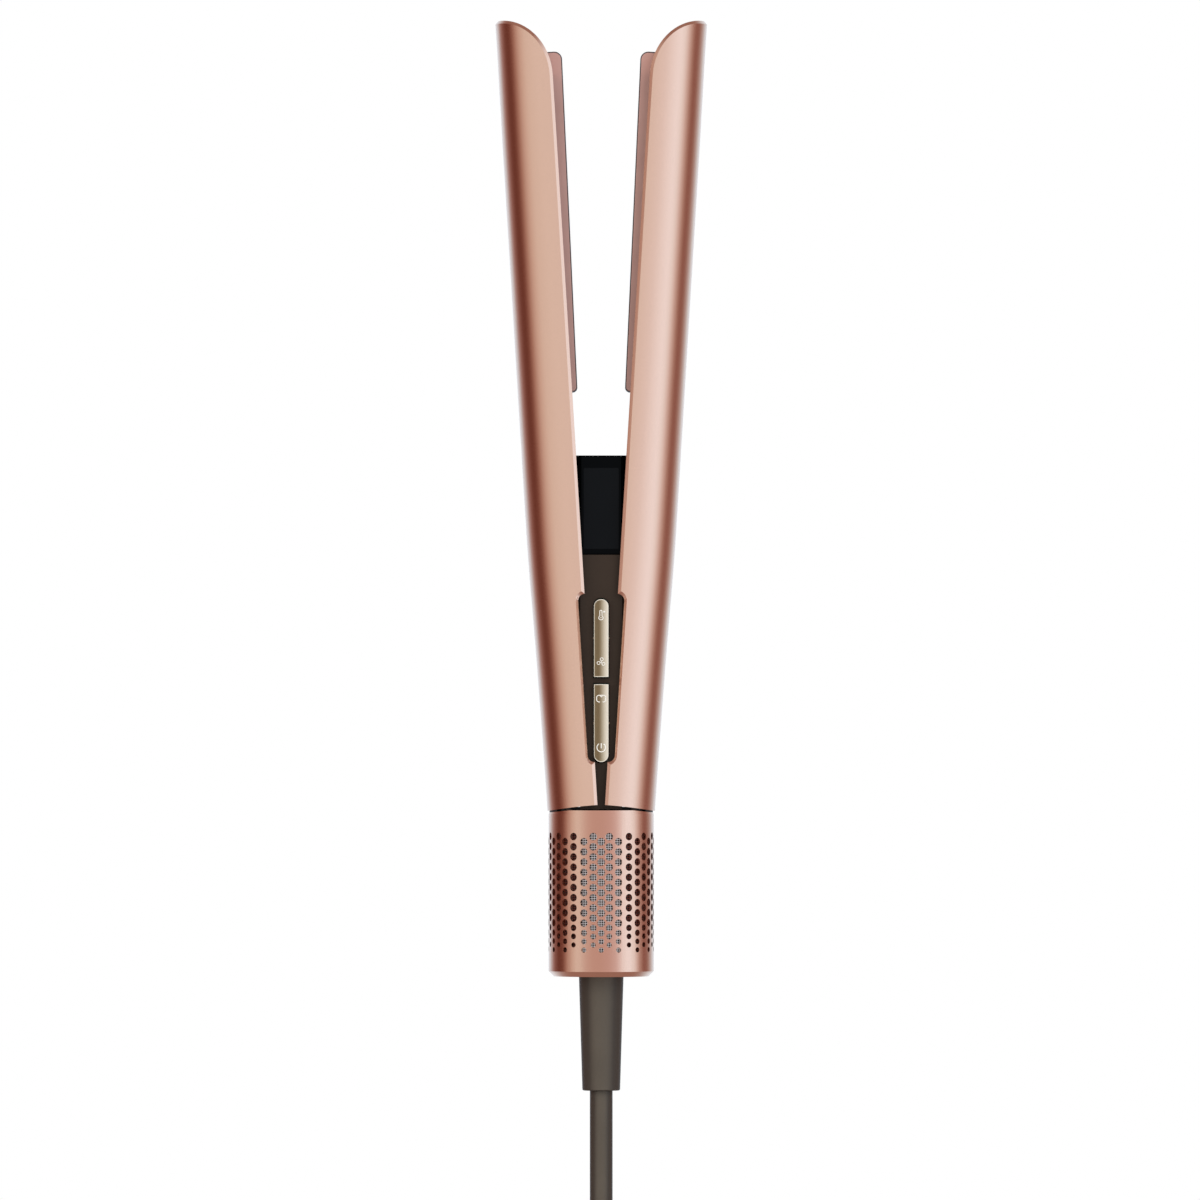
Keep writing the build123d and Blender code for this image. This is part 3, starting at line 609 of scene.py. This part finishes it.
def arc(cx, cz, radius, start, end, steps):
    """Points on an arc, degrees counted from +X towards +Z."""
    angles = np.radians(np.linspace(start, end, steps))
    return [(cx + radius * math.cos(a), cz + radius * math.sin(a)) for a in angles]


def dot(x, z, size):
    """Small round mark."""
    return stroke(arc(x, z, size / 4, 0, 330, 12), size / 2, closed=True)


def thermometer(z):
    """Stem and bulb in one outline, with a drop in the bulb and a degree mark beside the stem."""
    x = -0.1 * MM
    stem = arc(x, z + 1.15 * MM, 0.36 * MM, 0, 180, 12)
    bulb = arc(x, z - 0.95 * MM, 0.72 * MM, 120, 420, 30)
    outline = stroke(stem + bulb, STROKE * 0.8, closed=True)
    return [outline, dot(x, z - 0.95 * MM, 0.4 * MM), dot(1.0 * MM, z + 1.0 * MM, 0.7 * MM)]


def fan(z):
    """Hub with three round blades."""
    reach = 0.92 * MM
    parts = [dot(0, z, 0.45 * MM)]
    for turn in (80, 200, 320):
        a = math.radians(turn)
        blade = arc(reach * math.cos(a), z + reach * math.sin(a), 0.5 * MM, 0, 345, 20)
        parts.append(stroke(blade, STROKE * 0.7, closed=True))
    return parts


def arrow_loop(z):
    """Squarish ring, open at the foot, with a small arrow head hanging from its top."""
    half_x = 1.5 * MM
    half_z = 1.1 * MM
    corner = 0.75 * MM
    ring = [(0.45 * MM, z - half_z)]
    for side_x, side_z, start in ((1, -1, 270), (1, 1, 0), (-1, 1, 90), (-1, -1, 180)):
        ring += arc(side_x * (half_x - corner), z + side_z * (half_z - corner), corner, start, start + 90, 10)
    ring.append((-0.45 * MM, z - half_z))
    head = [(-0.4 * MM, z + 0.95 * MM), (0, z + 0.45 * MM), (0.4 * MM, z + 0.95 * MM)]
    return [stroke(ring, STROKE), stroke(head, STROKE * 0.8)]


def power(z):
    """Ring open at the top, with an upright bar in the opening."""
    ring = stroke(arc(0, z, 1.42 * MM, 122, 418, 36), STROKE)
    bar = stroke([(0, z - 0.3 * MM), (0, z + 1.4 * MM)], STROKE)
    return [ring, bar]


icon_ink_painted_glow = ink_with_painted_glow("icon_ink_painted_glow", (0.97, 0.94, 0.86), (1.0, 0.96, 0.88), 0.2)
for name, parts, body in (
    ("icon_thermometer", thermometer(69.5 * MM), "upper_button"),
    ("icon_fan", fan(54.0 * MM), "upper_button"),
    ("icon_loop", arrow_loop(42.0 * MM), "lower_button"),
    ("icon_power", power(25.95 * MM), "lower_button"),
):
    piece = mesh_piece(name, *gather(parts), icon_ink_painted_glow, body)


def button_inset(x, z, end):
    """Distance inwards from a button's outline; one end (+1 upper, -1 lower) is rounded."""
    dx = abs(x) - (BUTTON_HALF_X - BUTTON_CORNER)
    dz = end * z - (BUTTON_HALF_Z - BUTTON_CORNER)
    if dx > 0 and dz > 0:
        return BUTTON_CORNER - math.hypot(dx, dz)
    return min(BUTTON_HALF_X - abs(x), BUTTON_HALF_Z - abs(z))


def button_half_width(z, end):
    """Half width of a button's outline at a height from its middle."""
    dz = end * z - (BUTTON_HALF_Z - BUTTON_CORNER)
    if dz <= 0:
        return BUTTON_HALF_X
    return BUTTON_HALF_X - BUTTON_CORNER + math.sqrt(max(0.0, BUTTON_CORNER**2 - dz**2))


def skin_normal(x, z, end):
    """Shading direction of a button's skin: the rim faces the light, the crown turns across its width."""
    rim = np.interp(button_inset(x, z, end), (0.16 * MM, 0.3 * MM), (1.0, 0.0))
    turn = np.interp(x / MM, CROWN_X, CROWN_TURN)
    angle = math.radians(rim * RIM_TURN + (1 - rim) * turn)
    return math.sin(angle), -math.cos(angle), 0.0


def grid_border(across, up):
    """Vertex numbers round the outside of a grid of faces, in order."""
    lower = list(range(across + 1))
    right = [j * (across + 1) + across for j in range(1, up + 1)]
    upper = [up * (across + 1) + i for i in range(across - 1, -1, -1)]
    left = [j * (across + 1) for j in range(up - 1, 0, -1)]
    return lower + right + upper + left


def button_painted_sheen_skin(middle, end):
    """Polished skin of one button, whose normals steer its painted sheen: a painted highlight on the rim
    round a crown that goes from painted shade to painted highlight.
    """
    across = 48
    up = 200
    lift = 0.04 * MM
    skirt = 0.3 * MM
    margin = 0.02 * MM
    vertices, normals = [], []
    for j in range(up + 1):
        z = (BUTTON_HALF_Z - margin) * (2 * j / up - 1)
        half = button_half_width(z, end) - margin
        for i in range(across + 1):
            x = half * (2 * i / across - 1)
            vertices.append((x, crown_y(x) - lift, middle + z))
            normals.append(skin_normal(x, z, end))
    faces = []
    for j in range(up):
        for i in range(across):
            a = j * (across + 1) + i
            faces.append((a, a + 1, a + across + 2, a + across + 1))
    border = grid_border(across, up)
    start = len(vertices)
    for index in border:
        x, y, z = vertices[index]
        vertices.append((x, y + skirt, z))
        normals.append(normals[index])
    count = len(border)
    for i in range(count):
        n = (i + 1) % count
        faces.append((border[i], start + i, start + n, border[n]))
    return vertices, faces, normals


# painted sheen of the buttons: a shade colour and a highlight colour
painted_sheen_skin_look = painted_sheen_look("button_painted_sheen_skin", (0.25, 0.20, 0.11), (0.87, 0.78, 0.62))
for name, end in (("upper", 1), ("lower", -1)):
    vertices, faces, normals = button_painted_sheen_skin(BUTTON_Z[name], end)
    skin = mesh_piece(f"{name}_button_painted_sheen_skin", vertices, faces, painted_sheen_skin_look, f"{name}_button")
    skin.data.normals_split_custom_set_from_vertices(normals)


def active_area():
    """Slightly lighter panel area seen in the display glass, a thin plate with rounded corners."""
    front_y = GLASS_Y - 0.02 * MM
    back_y = GLASS_Y + 0.2 * MM
    side = PANEL_HALF_X - PANEL_CORNER
    low = PANEL_Z[0] + PANEL_CORNER
    high = PANEL_Z[1] - PANEL_CORNER
    outline = []
    for cx, cz, start in ((side, high, 0), (-side, high, 90), (-side, low, 180), (side, low, 270)):
        outline += arc(cx, cz, PANEL_CORNER, start, start + 90, 8)
    count = len(outline)
    vertices = [(x, front_y, z) for x, z in outline] + [(x, back_y, z) for x, z in outline]
    faces = [tuple(range(count))]
    for i in range(count):
        j = (i + 1) % count
        faces.append((i, i + count, j + count, j))
    return vertices, faces


panel_look = plastic("panel_look", (0.005, 0.006, 0.0072), 0.2, 200.0, bump=0.0, specular=0.05)
panel = mesh_piece("display_active", *active_area(), panel_look, "handle", soft=False)


# ---------------------------------------------------------------- studio

def floor_look(fade_start, fade_end):
    """Pale matt floor with a small glow, that fades out between two distances from the middle."""
    m = Look("floor_look")
    cloud = m.noise(3.0)
    away = m.calculate("ShaderNodeVectorMath", "LENGTH", m.place())
    m.set(
        Base_Color=m.mix(m.span(cloud), (0.9, 0.9, 0.9), (0.92, 0.92, 0.92)),
        Roughness=0.7,
        Emission_Color=(0.76, 1.0, 0.98, 1.0),
        Emission_Strength=0.36,
        Alpha=m.remap(away.outputs["Value"], fade_start, fade_end, 1.0, 0.0, soft=True),
    )
    return m.material


def studio_floor():
    """Plain pale floor, a disc that fades out into the backdrop."""
    reach = 0.33
    rim = [(reach * math.cos(a), reach * math.sin(a), FLOOR_Z) for a in np.linspace(0, 2 * math.pi, 97)[:-1]]
    mesh = bpy.data.meshes.new("floor")
    mesh.from_pydata(rim, [], [tuple(range(len(rim)))])
    mesh.materials.append(floor_look(0.17, 0.32))
    floor = bpy.data.objects.new("floor", mesh)
    bpy.context.scene.collection.objects.link(floor)
    floor.visible_glossy = False


def wrap_ramp(graph, turn):
    """Colour ramp of WRAP over a turn in radians."""
    ramp = graph.add("ShaderNodeValToRGB")
    graph.put(ramp, 0, graph.remap(turn, -math.pi, math.pi))
    stops = ramp.color_ramp.elements
    while len(stops) < len(WRAP):
        stops.new(0.5)
    for stop, (degrees, color) in zip(stops, WRAP):
        stop.position = (degrees + 180) / 360
        stop.color = (*color, 1.0)
    return ramp.outputs[0]


def studio_world():
    """Soft light wrapped round the object, dim overhead and below, with a white backdrop for the camera."""
    world = bpy.data.worlds.new("studio")
    bpy.context.scene.world = world
    world.use_nodes = True
    world.node_tree.nodes.clear()
    graph = Graph(world.node_tree)
    place = graph.add("ShaderNodeTexCoord")
    split = graph.add("ShaderNodeSeparateXYZ", Vector=place.outputs["Generated"])
    forward = graph.calculate("ShaderNodeMath", "MULTIPLY", split.outputs["Y"], -1.0)
    turn = graph.calculate("ShaderNodeMath", "ARCTAN2", split.outputs["X"], forward.outputs[0])
    height = graph.calculate("ShaderNodeMath", "ABSOLUTE", split.outputs["Z"])
    steep = graph.remap(height.outputs[0], 0.3, 0.85, soft=True)
    around = wrap_ramp(graph, turn.outputs[0])
    lit = graph.add("ShaderNodeBackground", Color=graph.mix(steep, around, OVERHEAD))
    white = graph.add("ShaderNodeBackground", Color=(1.0, 1.0, 1.0, 1.0))
    path = graph.add("ShaderNodeLightPath")
    choose = graph.add("ShaderNodeMixShader")
    graph.put(choose, 0, path.outputs["Is Camera Ray"])
    graph.put(choose, 1, lit.outputs[0])
    graph.put(choose, 2, white.outputs[0])
    graph.add("ShaderNodeOutputWorld", Surface=choose.outputs[0])


def area_light(name, place, size, power):
    """Soft box that looks at the object."""
    light = bpy.data.lights.new(name, "AREA")
    light.shape = "RECTANGLE"
    light.size, light.size_y = size
    light.energy = power
    lamp = bpy.data.objects.new(name, light)
    lamp.location = place
    aim = Vector((0, 0, 0.08)) - Vector(place)
    lamp.rotation_euler = aim.to_track_quat("-Z", "Y").to_euler()
    lamp.visible_glossy = False
    bpy.context.scene.collection.objects.link(lamp)


def camera():
    """Camera in front of the object, with the view's height set by its lens."""
    data = bpy.data.cameras.new("camera")
    data.sensor_width = 36.0
    data.lens = data.sensor_width * CAMERA_DISTANCE / VIEW_HEIGHT
    data.clip_end = 60.0
    shot = bpy.data.objects.new("camera", data)
    x, y, z = VIEW_CENTRE
    shot.location = (x, y - CAMERA_DISTANCE, z)
    shot.rotation_euler = (math.radians(90), 0, 0)
    bpy.context.scene.collection.objects.link(shot)
    bpy.context.scene.camera = shot


studio_floor()
studio_world()
area_light("key", (0.7, -1.3, 0.9), (0.9, 0.9), 6.0)
area_light("fill", (-1.2, -0.8, 0.5), (0.9, 0.9), 5.0)
camera()
bpy.context.scene.view_settings.view_transform = "Standard"
bpy.context.scene.view_settings.look = "None"
